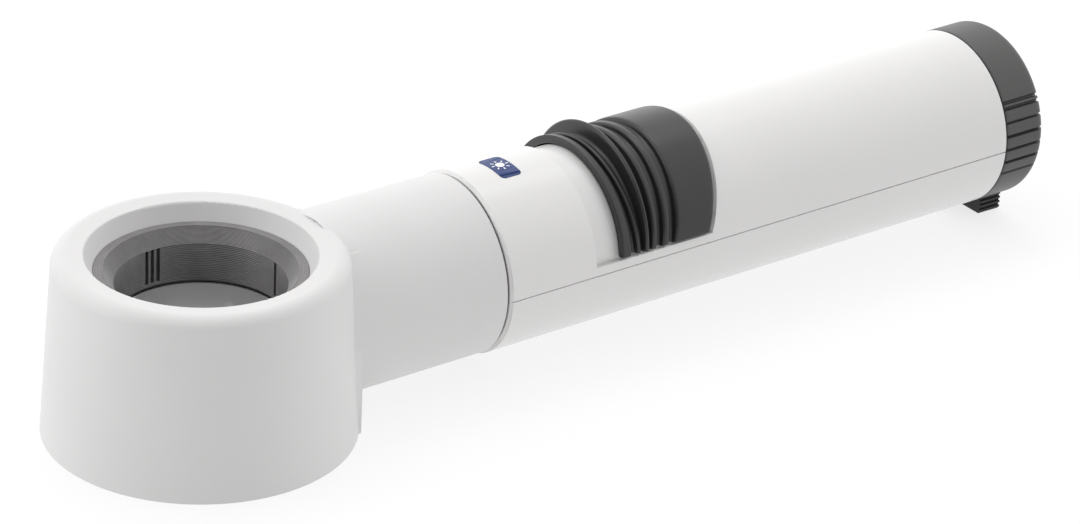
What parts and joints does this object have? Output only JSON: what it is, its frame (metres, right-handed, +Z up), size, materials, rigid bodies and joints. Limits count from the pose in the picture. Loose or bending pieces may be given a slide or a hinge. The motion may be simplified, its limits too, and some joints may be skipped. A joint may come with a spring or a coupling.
{
  "type": "illuminated stand magnifier",
  "caption": "Illuminated stand magnifier: a conical lens head that plugs into a round battery handle with a thumb slide switch and a turn-off end cap.",
  "frame": {"origin": "where the lens axis meets the plane that the head's base ring stands on", "axes": "+Z up the lens axis, +X along the handle towards its end cap, +Y to the left as seen from the end cap looking at the head's far side"},
  "size_m": [0.2071, 0.0556, 0.0381],
  "materials": {
    "white_shell": "matt to satin",
    "black_metal": "matt black",
    "black_rubber": "matt",
    "clear_lens": "polished, clear acrylic",
    "board": "satin",
    "bright_metal": "polished",
    "steel": "satin",
    "black_plastic": "matt",
    "brass": "satin",
    "lead_jacket": "matt",
    "battery_skin": "printed sleeve, plain",
    "blue_label": "satin",
    "grey_plastic": "satin"
  },
  "bodies": {
    "handle": {"upper_shell": "white_shell", "lower_shell": "white_shell", "socket_block": "black_plastic", "socket_contacts": "brass", "contact_holder": "black_plastic", "front_contact_plate": "brass", "battery_front": "battery_skin", "battery_rear": "battery_skin", "front_strip": "steel", "rear_strip": "steel", "switch_detent_spring": "steel", "lamp_label": "blue_label", "cap_seal": "black_rubber"},
    "head": {"head_housing": "white_shell", "lens_cell": "black_metal", "lens_seal": "black_rubber", "magnifier_lens": "clear_lens", "lens_retaining_ring": "black_metal", "light_window": "clear_lens", "led_board": "board", "led_emitter": "clear_lens", "led_reflector": "bright_metal", "board_screws": "steel", "head_plug": "black_plastic", "head_contact_pins": "brass", "head_leads": "lead_jacket"},
    "switch": {"switch_slider": "grey_plastic", "switch_bridge": "brass"},
    "cap": {"end_cap": "grey_plastic", "cap_contact_plate": "steel", "battery_spring": "steel", "cap_foot": "black_rubber"}
  },
  "joints": [
    {"name": "head_pull", "type": "slide", "parent": "handle", "child": "head", "axis": [-0.9999, 0, -0.0157], "range_m": [0, 0.014]},
    {"name": "switch_slide", "type": "slide", "parent": "handle", "child": "switch", "axis": [-0.9999, 0, -0.0157], "range_m": [0, 0.0034]},
    {"name": "cap_turn", "type": "hinge", "parent": "handle", "child": "cap", "pos_m": [0, 0, 0.0171], "axis": [0.9999, 0, 0.0157], "range_deg": [0, 30]}
  ]
}
